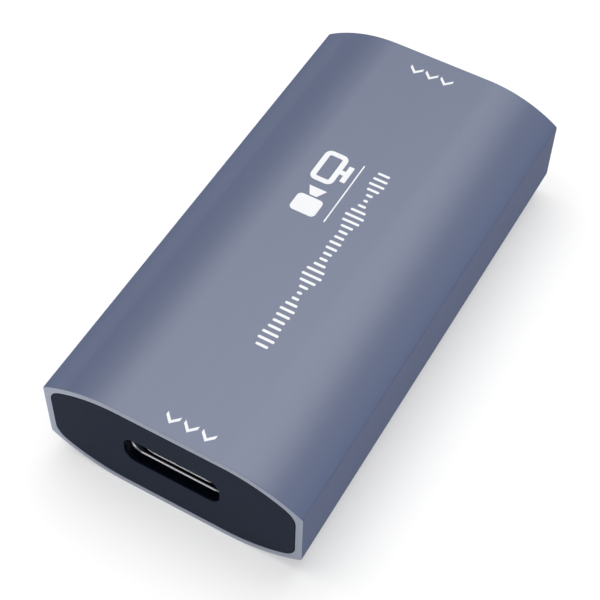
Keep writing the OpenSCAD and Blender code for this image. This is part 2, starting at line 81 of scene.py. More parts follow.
# Sides of the housing: how far out they turn duller and take painted shade, how much rougher they get,
# and the painted shade that darkens their colour
DULL_AND_SHADE_FROM = 11.5 * MM
DULL_ROUGHER = 0.52
PAINTED_SIDE_SHADE = (0.82, 0.85, 0.93, 1)

# Shoulder arc, tangent to the flat crown and running down to the side
SHOULDER_DROP = (TOP - SIDE_H) / 2
SHOULDER_REACH = HALF_W - FLAT_W / 2
SHOULDER_R = (SHOULDER_REACH**2 + SHOULDER_DROP**2) / (2 * SHOULDER_DROP)
SHOULDER_Z = TOP - SHOULDER_R

# End caps
CAP_GAP = 0.08 * MM
CAP_EASE = 0.07 * MM
FACE_T = 2.0 * MM
TAB_L = 5.0 * MM
TAB_T = 1.0 * MM
TAB_H = 3.0 * MM
RIB_H = 0.6 * MM
REST_X = 9.2 * MM
REST_W = 2.4 * MM
REST_T = 1.0 * MM
REST_L = 2.0 * MM
MOULD_EASE = 0.15 * MM

# Slot in the output cap, the ring in it and the web that the ring lies on
TRIM_LOW, TRIM_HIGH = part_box("slot_trim_ring")
TRIM_Z = (TRIM_LOW.z + TRIM_HIGH.z) / 2
TRIM_GAP = 0.03 * MM
TRIM_W = 0.2 * MM
TRIM_EASE = 0.1 * MM
SLOT_HALF_W = TRIM_HIGH.x + TRIM_GAP
SLOT_HALF_H = (TRIM_HIGH.z - TRIM_LOW.z) / 2 + TRIM_GAP
SLOT_R = 1.4 * MM
SLOT_EASE = 0.1 * MM
WEB_Y = TRIM_HIGH.y
HOLE_GAP = 0.2 * MM
HOLE_EASE = 0.05 * MM
# The slot's loops have as many points as the cap's outline, and bridge to it one to one;
# a round end has no straight side, so it takes one step more
SLOT_STEPS = SHOULDER_STEPS + CORNER_STEPS + 1
HOLE_STEPS = SLOT_STEPS + 1

# Sockets
BOARD_LOW, BOARD_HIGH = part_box("circuit_board")
DATA_LOW, DATA_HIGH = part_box("data_socket_shell")
DATA_SHEET = 0.3 * MM
DATA_H = 3.16 * MM
DATA_LIP_EASE = 0.12 * MM
DATA_STEPS = 14
DATA_LEG_W = 0.9 * MM
DATA_LEG_EASE = 0.05 * MM
DATA_LEGS = (2.4 * MM, 6.4 * MM)
VIDEO_SHEET = 0.3 * MM
VIDEO_W = 14.0 * MM
VIDEO_H = 4.55 * MM
VIDEO_BASE_W = 10.4 * MM
VIDEO_SLOPE_H = 1.9 * MM
VIDEO_BEND = 0.5 * MM
VIDEO_BEND_STEPS = 5
VIDEO_GAP = 0.12 * MM
VIDEO_FOLD_L = 3.5 * MM

# Small parts inside: eased edges, then the ends and bodies that are painted apart
EDGE = 0.04 * MM
FINE_EDGE = EDGE / 2
FINEST_EDGE = EDGE / 3
CAN_EDGE = 2 * EDGE
PAD_EDGE = 5 * EDGE
TERMINAL_L = 0.2 * MM
MEMORY_W = 3.9 * MM
REGULATOR_W = 1.6 * MM
INDUCTOR_W = 3.7 * MM

# Print on the crown: thickness of the ink, and where each mark lies (X, Y of two corners)
INK_T = 0.008 * MM
INK_SINK = 0.004 * MM
SCREEN_MARK = (-4.6 * MM, 5.9 * MM, -0.8 * MM, 10.4 * MM)
CAMERA_MARK = (-4.3 * MM, 1.2 * MM, -1.3 * MM, 5.0 * MM)
MARK_STROKE = 0.62 * MM
MARK_ROUND = 0.1 * MM
MARK_STEPS = 4
CAMERA_ROUND = 0.5 * MM
LENS_L = 1.15 * MM
LENS_GAP = 0.22 * MM
LENS_W = 2.1 * MM
LENS_TAPER = 0.4
SCREEN_ROUND = 0.75 * MM
SCREEN_STAND = 1.05 * MM
SCREEN_FOOT = 1.2 * MM
RULE_X = -0.1 * MM
RULE_W = 0.16 * MM
RULE_ROUND = 0.02 * MM
RULE_Y = (1.3 * MM, 10.2 * MM)
LEVELS_Y = (-15.4 * MM, 10.2 * MM)
LEVELS_X = 2.3 * MM
LEVELS_LOW = 0.45 * MM
LEVELS_HIGH = 2.3 * MM
LEVELS_COUNT = 32
LEVELS_W = 0.32 * MM
LEVELS_ROUND = 0.144 * MM
# Turns in radians from bar to bar: the quick beat, the slow drift, and where the drift starts
LEVELS_BEAT = 0.9
LEVELS_DRIFT = 0.23
LEVELS_START = 0.6
INPUT_ARROW_Y = 26.1 * MM
INPUT_ARROW_X = (-2.7 * MM, 2.5 * MM)
OUTPUT_ARROW_Y = -26.3 * MM
OUTPUT_ARROW_X = (-1.4 * MM, 4.0 * MM)
ARROW_COUNT = 3
ARROW_W = 1.5 * MM
ARROW_L = 0.75 * MM
ARROW_STROKE = 0.42 * MM

# Floor, surround and lamps, in metres
FLOOR_HALF = 20.0
FLOOR_CELLS = 8
FLOOR_TONE = 0.58
FLOOR_LIFT = 0.44
AMBIENT = 0.17
# Each lamp faces the box: name, place, width, length, radiance
LAMPS = [
    ("overhead_softbox", (-0.94, 0.76, 3.93), 6.52, 4.03, 2.73),
    ("front_card", (-1.2, -3.44, 1.7), 1.8, 0.8, 1.6),
    ("right_card", (3.9, -0.9, 0.62), 2.4, 1.15, 7.7),
]

# Camera: place in metres, turn, lens and sensor in millimetres, nearest depth in metres
CAMERA_AT = (0.045468, -0.087404, 0.133757)
CAMERA_TURN = (0.91665361, 0.30615776, 0.07301948, 0.24633665)
CAMERA_LENS = 90.989
CAMERA_SENSOR = 36.0
CAMERA_NEAR = 0.005


class Outline:
    """A chain of edges in an upright plane, drawn with vertex extrusions and spins."""

    def __init__(self, bm, x, y, z):
        self.bm = bm
        self.before = set(bm.verts)
        self.tip = bm.verts.new((x, y, z))

    def line(self, x, z):
        """Goes straight to a point."""
        self.tip = bmesh.ops.extrude_vert_indiv(self.bm, verts=[self.tip])["verts"][0]
        self.tip.co = (x, self.tip.co.y, z)

    def arc(self, x, z, angle, steps):
        """Turns about a point."""
        centre = (x, self.tip.co.y, z)
        turned = bmesh.ops.spin(
            self.bm, geom=[self.tip], cent=centre, axis=(0, 1, 0), angle=angle, steps=steps
        )
        self.tip = [g for g in turned["geom_last"] if isinstance(g, bmesh.types.BMVert)][0]

    def verts(self):
        """The outline's own vertices."""
        return [v for v in self.bm.verts if v not in self.before]

    def edges(self):
        """The outline's own edges."""
        made = set(self.verts())
        return [e for e in self.bm.edges if e.verts[0] in made and e.verts[1] in made]

    def mirror(self, axis, height=0.0):
        """Adds the outline's mirror image, across a middle plane of the box or one at a height."""
        about = Matrix.Translation((0, 0, -height))
        geom = self.verts() + self.edges()
        bmesh.ops.mirror(self.bm, geom=geom, matrix=about, merge_dist=-1, axis=axis)
        bmesh.ops.remove_doubles(self.bm, verts=self.verts(), dist=TINY)


def section_loop(bm, y, inset, corner_r):
    """The housing's outline at y, drawn in by inset, with its four long corners rounded."""
    half_w = HALF_W - inset
    corner_x = half_w - corner_r
    reach = corner_x - FLAT_W / 2
    rise = math.sqrt((SHOULDER_R - inset - corner_r) ** 2 - reach**2)
    lean = math.atan2(reach, rise)
    corner_z = SHOULDER_Z + rise
    loop = Outline(bm, 0, y, TOP - inset)
    loop.line(FLAT_W / 2, TOP - inset)
    loop.arc(FLAT_W / 2, SHOULDER_Z, lean, SHOULDER_STEPS)
    loop.arc(corner_x, corner_z, math.pi / 2 - lean, CORNER_STEPS)
    loop.line(half_w, corner_z - SIDE_MARGIN)
    loop.line(half_w, MID)
    loop.mirror("Z", MID)
    loop.mirror("X")
    return loop.edges()


def rounded_loop(bm, y, half_w, half_h, centre_z, corner_r, steps):
    """A rounded rectangle at y, with round ends where corner_r is half its height."""
    loop = Outline(bm, 0, y, centre_z + half_h)
    loop.line(half_w - corner_r, centre_z + half_h)
    loop.arc(half_w - corner_r, centre_z + half_h - corner_r, math.pi / 2, steps)
    if half_h - corner_r > TINY:
        loop.line(half_w, centre_z)
    loop.mirror("Z", centre_z)
    loop.mirror("X")
    return loop.edges()


def video_loop(bm, y, grow, bend):
    """The video socket's outline at y, grown from its mouth, with rounded bends."""
    run = (VIDEO_W - VIDEO_BASE_W) / 2
    lean = math.hypot(run, VIDEO_SLOPE_H)
    floor_z = BOARD_HIGH.z + VIDEO_SHEET
    half_top = VIDEO_W / 2 + grow
    half_base = VIDEO_BASE_W / 2 + grow * (lean - run) / VIDEO_SLOPE_H
    top_z = floor_z + VIDEO_H + grow
    slope_z = floor_z + VIDEO_SLOPE_H + grow * (VIDEO_SLOPE_H - lean) / run
    loop = Outline(bm, 0, y, top_z)
    loop.line(half_top, top_z)
    loop.line(half_top, slope_z)
    loop.line(half_base, floor_z - grow)
    loop.line(0, floor_z - grow)
    bends = [v for v in loop.verts() if v.co.x > TINY]
    bmesh.ops.bevel(
        bm, geom=bends, affect="VERTICES", offset=bend, segments=VIDEO_BEND_STEPS, profile=0.5,
        material=-1,
    )
    loop.mirror("X")
    return loop.edges()


def loft(bm, loops):
    """Faces from each loop to the next, and from the last back to the first."""
    for near, far in zip(loops, loops[1:] + loops[:1]):
        ring = list({v for e in far for v in e.verts})
        bmesh.ops.translate(bm, verts=ring, vec=(0, LOFT_APART, 0))
        bmesh.ops.bridge_loops(bm, edges=near + far)
        bmesh.ops.translate(bm, verts=ring, vec=(0, -LOFT_APART, 0))


def ease(bm, edges, offset, segments=3):
    """Rounds these edges."""
    bmesh.ops.bevel(
        bm, geom=edges, affect="EDGES", offset=offset, offset_type="OFFSET", segments=segments,
        profile=0.5, material=-1, clamp_overlap=True,
    )


def block(bm, low, high, offset):
    """A box between two corners with eased edges."""
    low, high = Vector(low), Vector(high)
    size = Matrix.Diagonal((*(high - low), 1))
    cube = bmesh.ops.create_cube(bm, size=1, matrix=Matrix.Translation((low + high) / 2) @ size)
    ease(bm, list({e for v in cube["verts"] for e in v.link_edges}), offset, segments=2)


def on_both_sides(bm, add):
    """Runs add, then mirrors what it made across the middle of the box."""
    before = set(bm.verts)
    add()
    made = [v for v in bm.verts if v not in before]
    kept = set(made)
    edges = [e for e in bm.edges if e.verts[0] in kept]
    faces = [f for f in bm.faces if f.verts[0] in kept]
    bmesh.ops.mirror(bm, geom=made + edges + faces, matrix=Matrix(), merge_dist=-1, axis="X")


def join_flats(bm):
    """Joins the vertices that coincide and the faces that lie in one flat."""
    bmesh.ops.remove_doubles(bm, verts=bm.verts, dist=TINY)
    bmesh.ops.dissolve_limit(bm, angle_limit=FLAT_ANGLE, verts=bm.verts, edges=bm.edges)
    bm.normal_update()


def merged_copy(node):
    """A node's mesh with its triangles joined into flats."""
    bm = bmesh.new()
    bm.from_mesh(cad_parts[node].data)
    join_flats(bm)
    return bm


def bent(edge, angle):
    """Whether an edge joins two faces that differ by more than an angle."""
    return edge.is_manifold and edge.calc_face_angle() > angle


def ease_cuts(bm, offset):
    """Rounds every cut edge."""
    ease(bm, [e for e in bm.edges if bent(e, CUT_ANGLE)], offset, segments=2)
    bmesh.ops.remove_doubles(bm, verts=bm.verts, dist=TINY)
    bm.normal_update()


def paint(bm, index, test):
    """Gives the faces that pass the test another of the piece's materials."""
    for face in bm.faces:
        if test(face):
            face.material_index = index


def add_piece(name, bm, materials, node=None):
    """Makes the mesh an object that rides on the box and, where it has a node, stands for it."""
    bmesh.ops.recalc_face_normals(bm, faces=bm.faces)
    mesh = bpy.data.meshes.new(name)
    bm.to_mesh(mesh)
    bm.free()
    for material in materials:
        mesh.materials.append(material)
    mesh.polygons.foreach_set("use_smooth", [True] * len(mesh.polygons))
    mesh.set_sharp_from_angle(angle=SMOOTH_ANGLE)
    piece = bpy.data.objects.new(name, mesh)
    scene.collection.objects.link(piece)
    # Large faces stay flat up to their eased edges
    flats = piece.modifiers.new("flat_faces", "WEIGHTED_NORMAL")
    flats.keep_sharp = True
    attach(piece, "root")
    if node:
        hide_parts(node)
    return piece


def add_node(tree, kind, sockets=None, **settings):
    """A shader node with its settings, and its inputs set or linked."""
    node = tree.nodes.new(kind)
    for key, value in settings.items():
        setattr(node, key, value)
    for key, value in (sockets or {}).items():
        if isinstance(value, bpy.types.NodeSocket):
            tree.links.new(value, node.inputs[key])
        else:
            node.inputs[key].default_value = value
    return node


def math_value(tree, operation, *values):
    """What a Math node works out from these values."""
    return add_node(tree, "ShaderNodeMath", dict(enumerate(values)), operation=operation).outputs[0]


def new_group(name, inputs, outputs):
    """An empty node group with these sockets."""
    tree = bpy.data.node_groups.new(name, "ShaderNodeTree")
    for label, kind in inputs:
        tree.interface.new_socket(label, in_out="INPUT", socket_type="NodeSocket" + kind)
    for label, kind in outputs:
        tree.interface.new_socket(label, in_out="OUTPUT", socket_type="NodeSocket" + kind)
    return tree, tree.nodes.new("NodeGroupInput").outputs, tree.nodes.new("NodeGroupOutput").inputs


def surface_noise_group():
    """Noise over the surface, with its own number of waves per metre along each axis."""
    tree, given, out = new_group(
        "surface_noise", [("Waves", "Vector"), ("Detail", "Float")], [("Value", "Float")]
    )
    place = add_node(tree, "ShaderNodeTexCoord").outputs["Object"]
    spread = add_node(
        tree, "ShaderNodeVectorMath", {0: place, 1: given["Waves"]}, operation="MULTIPLY"
    )
    noise = add_node(
        tree, "ShaderNodeTexNoise",
        {"Vector": spread.outputs[0], "Scale": 1.0, "Detail": given["Detail"], "Roughness": 0.55},
    )
    tree.links.new(noise.outputs["Fac"], out["Value"])
    return tree


def toned_group():
    """A colour made a little lighter and darker by a value between 0 and 1."""
    tree, given, out = new_group(
        "toned", [("Color", "Color"), ("Value", "Float"), ("Amount", "Float")], [("Color", "Color")]
    )
    swing = math_value(tree, "SUBTRACT", given["Value"], 0.5)
    level = math_value(tree, "MULTIPLY_ADD", swing, given["Amount"], 1.0)
    shade = add_node(tree, "ShaderNodeHueSaturation", {"Color": given["Color"], "Value": level})
    tree.links.new(shade.outputs[0], out["Color"])
    return tree


SURFACE_NOISE = surface_noise_group()
TONED = toned_group()


def grouped(tree, group, sockets):
    """A node of a group, with its inputs set or linked."""
    return add_node(tree, "ShaderNodeGroup", sockets, node_tree=group).outputs


def noise(tree, waves, detail=2.0):
    """Noise with this many waves per millimetre, one number or one for each axis."""
    each = waves if isinstance(waves, tuple) else (waves,) * 3
    return grouped(tree, SURFACE_NOISE, {"Waves": [w / MM for w in each], "Detail": detail})["Value"]


class Finish:
    """A Principled material with a fine grain in its roughness and bump, and a broad tone."""

    def __init__(self, name, colour, roughness, spread, grain, grain_h, tone, amount):
        self.material = bpy.data.materials.new(name)
        self.material.use_nodes = True
        self.tree = self.material.node_tree
        self.shader = self.tree.nodes["Principled BSDF"]
        fine = noise(self.tree, grain)
        broad = noise(self.tree, tone, detail=3.0)
        toned = grouped(self.tree, TONED, {"Color": (*colour, 1), "Value": broad, "Amount": amount})
        self.colour = toned["Color"]
        self.set("Base Color", self.colour)
        rough = add_node(
            self.tree, "ShaderNodeMapRange",
            {"Value": fine, "To Min": roughness - spread, "To Max": roughness + spread},
        )
        self.rough = rough.outputs[0]
        self.set("Roughness", self.rough)
        bump = add_node(
            self.tree, "ShaderNodeBump", {"Height": fine, "Strength": 0.5, "Distance": grain_h}
        )
        self.set("Normal", bump.outputs[0])

    def set(self, socket, value):
        """Sets one of the shader's inputs, or links it."""
        if isinstance(value, bpy.types.NodeSocket):
            self.tree.links.new(value, self.shader.inputs[socket])
        else:
            self.shader.inputs[socket].default_value = value
        return self


def anodised_aluminium():
    """Blasted and dyed aluminium with faint drawing lines, duller towards its sides, where painted
    shade darkens its colour.
    """
    finish = Finish(
        "anodised_aluminium", (0.0923, 0.1182, 0.2058), roughness=0.406, spread=0.05,
        grain=6.0, grain_h=0.004 * MM, tone=(1.4, 0.015, 1.4), amount=0.12,
    )
    finish.set("IOR", 1.6)
    finish.set("Specular IOR Level", 0.7)
    tree = finish.tree
    place = add_node(tree, "ShaderNodeTexCoord").outputs["Object"]
    across = add_node(tree, "ShaderNodeSeparateXYZ", {0: place}).outputs["X"]
    sideways = math_value(tree, "ABSOLUTE", across)
    dull_and_shade = add_node(
        tree, "ShaderNodeMapRange", {"Value": sideways, "From Min": DULL_AND_SHADE_FROM, "From Max": HALF_W}
    ).outputs[0]
    finish.set("Roughness", math_value(tree, "MULTIPLY_ADD", dull_and_shade, DULL_ROUGHER, finish.rough))
    # Painted shade: the base colour darkens towards the sides
    painted_shade_mix = add_node(
        tree, "ShaderNodeMix", {"Factor": dull_and_shade, "A": finish.colour, "B": PAINTED_SIDE_SHADE},
        data_type="RGBA", blend_type="MULTIPLY",
    )
    finish.set("Base Color", painted_shade_mix.outputs["Result"])
    return finish.material


def cut_aluminium():
    """The sawn and polished ends of the tube, lighter than its sides."""
    finish = Finish(
        "cut_aluminium", (0.295, 0.323, 0.40), roughness=0.34, spread=0.06,
        grain=(1.0, 3.0, 9.0), grain_h=0.003 * MM, tone=0.3, amount=0.1,
    )
    return finish.set("Metallic", 1.0).material


def cap_plastic():
    """Matte blue-black moulding with a fine spark-eroded grain."""
    finish = Finish(
        "cap_plastic", (0.0184, 0.026, 0.0495), roughness=0.62, spread=0.1,
        grain=7.0, grain_h=0.006 * MM, tone=0.25, amount=0.16,
    )
    return finish.set("Specular IOR Level", 0.06).material


def slot_shade_paint():
    """The slot's smooth walls, with painted shade that makes the cap's plastic near black inside the
    recess.
    """
    finish = Finish(
        "slot_shade_paint", (0.0025, 0.0035, 0.009), roughness=0.3, spread=0.05,
        grain=5.0, grain_h=0.002 * MM, tone=0.5, amount=0.2,
    )
    return finish.set("Specular IOR Level", 0.05).material


def plated_steel():
    """Bright nickel on drawn sheet, with faint drawing lines."""
    finish = Finish(
        "plated_steel", (0.66, 0.67, 0.69), roughness=0.22, spread=0.06,
        grain=(5.0, 0.4, 5.0), grain_h=0.0015 * MM, tone=0.5, amount=0.1,
    )
    return finish.set("Metallic", 1.0).material


def satin_steel():
    """The ring in the slot, duller than the sockets."""
    finish = Finish(
        "satin_steel", (0.60, 0.61, 0.65), roughness=0.32, spread=0.06,
        grain=(9.0, 2.0, 2.0), grain_h=0.002 * MM, tone=0.6, amount=0.1,
    )
    return finish.set("Metallic", 1.0).material


def socket_plastic():
    """Black glass-filled moulding."""
    finish = Finish(
        "socket_plastic", (0.014, 0.014, 0.016), roughness=0.5, spread=0.1,
        grain=(9.0, 2.0, 9.0), grain_h=0.004 * MM, tone=0.6, amount=0.3,
    )
    return finish.set("Specular IOR Level", 0.35).material


def contact_gold():
    """Gold plating, paler where it is thin."""
    finish = Finish(
        "contact_gold", (0.78, 0.56, 0.2), roughness=0.25, spread=0.08,
        grain=(8.0, 1.0, 8.0), grain_h=0.001 * MM, tone=1.2, amount=0.2,
    )
    return finish.set("Metallic", 1.0).material


def tin_solder():
    """Cooled solder and tinned ends, softly rippled."""
    finish = Finish(
        "tin_solder", (0.6, 0.6, 0.61), roughness=0.35, spread=0.12,
        grain=3.0, grain_h=0.01 * MM, tone=1.0, amount=0.2,
    )
    return finish.set("Metallic", 1.0).material


def board_mask():
    """Green solder mask over copper runs that show as slightly lighter lines."""
    finish = Finish(
        "board_mask", (0.012, 0.07, 0.032), roughness=0.28, spread=0.06,
        grain=4.0, grain_h=0.003 * MM, tone=0.3, amount=0.3,
    )
    tree = finish.tree
    place = add_node(tree, "ShaderNodeTexCoord").outputs["Object"]
    runs = add_node(
        tree, "ShaderNodeTexBrick",
        {
            "Vector": place, "Color1": (0, 0, 0, 1), "Color2": (0, 0, 0, 1), "Mortar": (1, 1, 1, 1),
            "Scale": 1.0 / MM, "Mortar Size": 0.07, "Brick Width": 5.5, "Row Height": 0.9,
        },
        offset=0.37,
    ).outputs["Color"]
    mix = add_node(
        tree, "ShaderNodeMix", {"Factor": runs, "A": finish.colour, "B": (0.03, 0.15, 0.06, 1)},
        data_type="RGBA",
    )
    finish.set("Base Color", mix.outputs["Result"])
    return finish.material


def chip_resin():
    """Black epoxy moulding with a fine even grain."""
    finish = Finish(
        "chip_resin", (0.018, 0.018, 0.02), roughness=0.6, spread=0.1,
        grain=8.0, grain_h=0.006 * MM, tone=0.4, amount=0.25,
    )
    return finish.material


def pad_silicone():
    """Soft filled silicone with a slightly uneven face."""
    finish = Finish(
        "pad_silicone", (0.17, 0.35, 0.57), roughness=0.75, spread=0.08,
        grain=3.0, grain_h=0.02 * MM, tone=0.5, amount=0.25,
    )
    return finish.material


def crystal_can():
    """Seam-welded metal lid with fine rolling lines."""
    finish = Finish(
        "crystal_can", (0.6, 0.59, 0.56), roughness=0.3, spread=0.08,
        grain=(0.8, 9.0, 3.0), grain_h=0.001 * MM, tone=0.8, amount=0.15,
    )
    return finish.set("Metallic", 1.0).material


def iron_powder():
    """Pressed iron powder with a coarse grain."""
    finish = Finish(
        "iron_powder", (0.085, 0.085, 0.092), roughness=0.65, spread=0.15,
        grain=6.0, grain_h=0.02 * MM, tone=1.5, amount=0.5,
    )
    return finish.set("Metallic", 0.4).material


def fired_ceramic():
    """Tan ceramic with a slight glaze."""
    finish = Finish(
        "fired_ceramic", (0.4, 0.26, 0.13), roughness=0.4, spread=0.1,
        grain=6.0, grain_h=0.004 * MM, tone=1.0, amount=0.3,
    )
    return finish.material


def dark_glaze():
    """The dark glass over a resistor's film."""
    finish = Finish(
        "dark_glaze", (0.02, 0.02, 0.024), roughness=0.25, spread=0.08,
        grain=6.0, grain_h=0.003 * MM, tone=1.5, amount=0.4,
    )
    return finish.material


def white_ink():
    """Pad-printed ink, thin enough for the metal's grain to show."""
    finish = Finish(
        "white_ink", (0.84, 0.85, 0.87), roughness=0.5, spread=0.08,
        grain=6.0, grain_h=0.003 * MM, tone=0.8, amount=0.08,
    )
    return finish.material


ALUMINIUM = anodised_aluminium()
CUT_RIM = cut_aluminium()
CAP = cap_plastic()
SLOT_PAINTED_SHADE = slot_shade_paint()
STEEL = plated_steel()
SATIN_STEEL = satin_steel()
SOCKET_PLASTIC = socket_plastic()
GOLD = contact_gold()
SOLDER = tin_solder()
BOARD = board_mask()
RESIN = chip_resin()
SILICONE = pad_silicone()
CAN = crystal_can()
IRON = iron_powder()
CERAMIC = fired_ceramic()
GLAZE = dark_glaze()
INK = white_ink()


def faces_end(face):
    """Whether a face looks towards an end of the box."""
    return abs(face.normal.y) > END_FACING


def housing_tube():
    """The extruded tube with its four board rails inside."""
    bm = bmesh.new()
    near, far = -HALF_L, HALF_L
    outer = [section_loop(bm, y, 0, OUTER_R) for y in (near, far)]
    inner = [section_loop(bm, y, WALL, INNER_R) for y in (far, near)]
    loft(bm, outer + inner)
    ease(bm, outer[0] + outer[1], RIM_EASE)
    ease(bm, inner[0] + inner[1], BORE_EASE)
    bm.normal_update()
    paint(bm, 1, faces_end)
    rail_end = HALF_L - FACE_T - TAB_L
    wall_x = HALF_W - WALL
    for base in (BOARD_LOW.z - BOARD_GAP - RAIL_T, BOARD_HIGH.z + BOARD_GAP):
        low = (wall_x - RAIL_DEPTH, -rail_end, base)
        high = (wall_x + RAIL_SINK, rail_end, base + RAIL_T)
        on_both_sides(bm, lambda: block(bm, low, high, MOULD_EASE))
    return add_piece("housing_tube_visual", bm, [ALUMINIUM, CUT_RIM], "housing_tube")


def cap_outline(bm, y):
    """The outline of a cap's plate, a small gap inside the tube."""
    return section_loop(bm, y, WALL + CAP_GAP, INNER_R - CAP_GAP)


def cap_tabs(bm, front, inward):
    """The side tabs with their crush ribs and the two board rests, behind a cap's plate."""
    side = HALF_W - WALL
    base = BOARD_HIGH.z + BOARD_GAP
    tab_top = base + TAB_H
    rib_low = (base + tab_top - RIB_H) / 2
    start = front + inward * FACE_T / 2
    back = front + inward * (FACE_T + TAB_L)
    rest_back = front + inward * (FACE_T + REST_L)
    boxes = [
        ((side - CAP_GAP - TAB_T, start, base), (side - CAP_GAP, back, tab_top)),
        ((side - CAP_GAP - TAB_T / 2, front + inward * FACE_T, rib_low), (side, back, rib_low + RIB_H)),
        ((REST_X, start, BOARD_LOW.z - REST_T), (REST_X + REST_W, rest_back, BOARD_LOW.z)),
    ]
    for low, high in boxes:
        on_both_sides(bm, lambda: block(bm, low, high, MOULD_EASE))


def slot_loop(bm, y, grow, corner_r):
    """The slot's outline at y, grown or drawn in."""
    return rounded_loop(bm, y, SLOT_HALF_W + grow, SLOT_HALF_H + grow, TRIM_Z, corner_r, SLOT_STEPS)


def data_loop(bm, y, grow, steps=DATA_STEPS):
    """The round-ended outline of the data socket's shell at y, grown or drawn in."""
    half_h = DATA_H / 2 + grow
    centre_z = BOARD_HIGH.z + DATA_H / 2
    return rounded_loop(bm, y, DATA_HIGH.x + grow, half_h, centre_z, half_h, steps)


def slot_wall(face):
    """Whether a face is a wall of the slot or of the hole in its web."""
    place = face.calc_center_median()
    beside = abs(place.x) < SLOT_HALF_W + HOLE_GAP and abs(place.z - TRIM_Z) < SLOT_HALF_H + HOLE_GAP
    return beside and not faces_end(face)


def output_cap():
    """The near cap, with the slot in its face and the data socket's hole in the web behind."""
    bm = bmesh.new()
    front = -HALF_L
    back = front + FACE_T
    face = cap_outline(bm, front)
    mouth = slot_loop(bm, front, 0, SLOT_R)
    hole = data_loop(bm, WEB_Y, HOLE_GAP, HOLE_STEPS)
    loops = [
        face, mouth, slot_loop(bm, WEB_Y, 0, SLOT_R), hole,
        data_loop(bm, back, HOLE_GAP, HOLE_STEPS), cap_outline(bm, back),
    ]
    loft(bm, loops)
    ease(bm, face, CAP_EASE)
    ease(bm, mouth, SLOT_EASE)
    ease(bm, hole, HOLE_EASE)
    bm.normal_update()
    # The walls of the slot and of the hole behind it take the near-black painted shade
    paint(bm, 1, slot_wall)
    cap_tabs(bm, front, 1)
    return add_piece("output_cap_visual", bm, [CAP, SLOT_PAINTED_SHADE], "output_end_cap")


def trim_ring():
    """The bright ring against the slot's web, with a chamfered window."""
    bm = bmesh.new()
    near, far = TRIM_LOW.y, TRIM_HIGH.y
    inner_grow = -TRIM_GAP - TRIM_W
    inner_r = SLOT_R + inner_grow
    window = slot_loop(bm, near, inner_grow, inner_r)
    loops = [
        window, slot_loop(bm, near, -TRIM_GAP, SLOT_R - TRIM_GAP),
        slot_loop(bm, far, -TRIM_GAP, SLOT_R - TRIM_GAP), slot_loop(bm, far, inner_grow, inner_r),
    ]
    loft(bm, loops)
    ease(bm, window, TRIM_EASE, segments=1)
    return add_piece("slot_trim_visual", bm, [SATIN_STEEL], "slot_trim_ring")


def data_shell():
    """The drawn shell of the data socket, with a rolled lip and four legs."""
    bm = bmesh.new()
    near, far = DATA_LOW.y, DATA_HIGH.y
    lip = data_loop(bm, near, 0)
    mouth = data_loop(bm, near, -DATA_SHEET)
    loft(bm, [mouth, lip, data_loop(bm, far, 0), data_loop(bm, far, -DATA_SHEET)])
    ease(bm, lip + mouth, DATA_LIP_EASE)
    for place in DATA_LEGS:
        low = (DATA_HIGH.x - DATA_SHEET, near + place - DATA_LEG_W / 2, DATA_LOW.z)
        high = (DATA_HIGH.x, near + place + DATA_LEG_W / 2, BOARD_HIGH.z + DATA_H / 2)
        on_both_sides(bm, lambda: block(bm, low, high, DATA_LEG_EASE))
    return add_piece("data_shell_visual", bm, [STEEL], "data_socket_shell")


def input_cap():
    """The far cap, with the video socket's opening."""
    bm = bmesh.new()
    front = HALF_L
    back = front - FACE_T
    face = cap_outline(bm, front)
    grow = VIDEO_SHEET + VIDEO_GAP
    mouth = video_loop(bm, front, grow, VIDEO_BEND + VIDEO_GAP)
    loft(bm, [face, mouth, video_loop(bm, back, grow, VIDEO_BEND + VIDEO_GAP), cap_outline(bm, back)])
    ease(bm, face, CAP_EASE)
    ease(bm, mouth, CAP_EASE)
    cap_tabs(bm, front, -1)
    return add_piece("input_cap_visual", bm, [CAP], "input_end_cap")


def along_y(edge):
    """Whether an edge runs along the box."""
    near, far = (v.co for v in edge.verts)
    return abs(near.x - far.x) < TINY and abs(near.z - far.z) < TINY


def video_shell():
    """The folded shell of the video socket, with its bends rounded and its edges as stamped."""
    bm = merged_copy("video_socket_shell")
    lengthwise = [e for e in bm.edges if along_y(e) and e.calc_length() > VIDEO_FOLD_L]
    folds = [e for e in lengthwise if bent(e, FOLD_ANGLE)]
    outer = [e for e in folds if e.is_convex]
    inner = [e for e in folds if not e.is_convex]
    ease(bm, outer, VIDEO_BEND, VIDEO_BEND_STEPS)
    ease(bm, inner, VIDEO_BEND - VIDEO_SHEET, VIDEO_BEND_STEPS)
    # The bends end level with the mouth
    mouth = max(v.co.y for v in bm.verts)
    for vert in bm.verts:
        if mouth - vert.co.y < VIDEO_SHEET:
            vert.co.y = mouth
    join_flats(bm)
    return add_piece("video_shell_visual", bm, [STEEL], "video_socket_shell")


def small_piece(node, materials, offset, mark=None):
    """An inner piece with eased edges, part of it in a second material."""
    bm = merged_copy(node)
    ease_cuts(bm, offset)
    if mark:
        mark(bm)
    return add_piece(node + "_visual", bm, materials, node)


def mark_leads(node, body_w):
    """Paints what lies outside a chip's body, to each side of it."""
    low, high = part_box(node)
    centre = (low.x + high.x) / 2
    return lambda bm: paint(bm, 1, lambda face: abs(face.calc_center_median().x - centre) > body_w / 2)


def islands(bm):
    """The vertices of each separate solid."""
    left = set(bm.verts)
    while left:
        found, edge = set(), [left.pop()]
        while edge:
            vert = edge.pop()
            found.add(vert)
            for link in vert.link_edges:
                other = link.other_vert(vert)
                if other in left:
                    left.remove(other)
                    edge.append(other)
        yield found


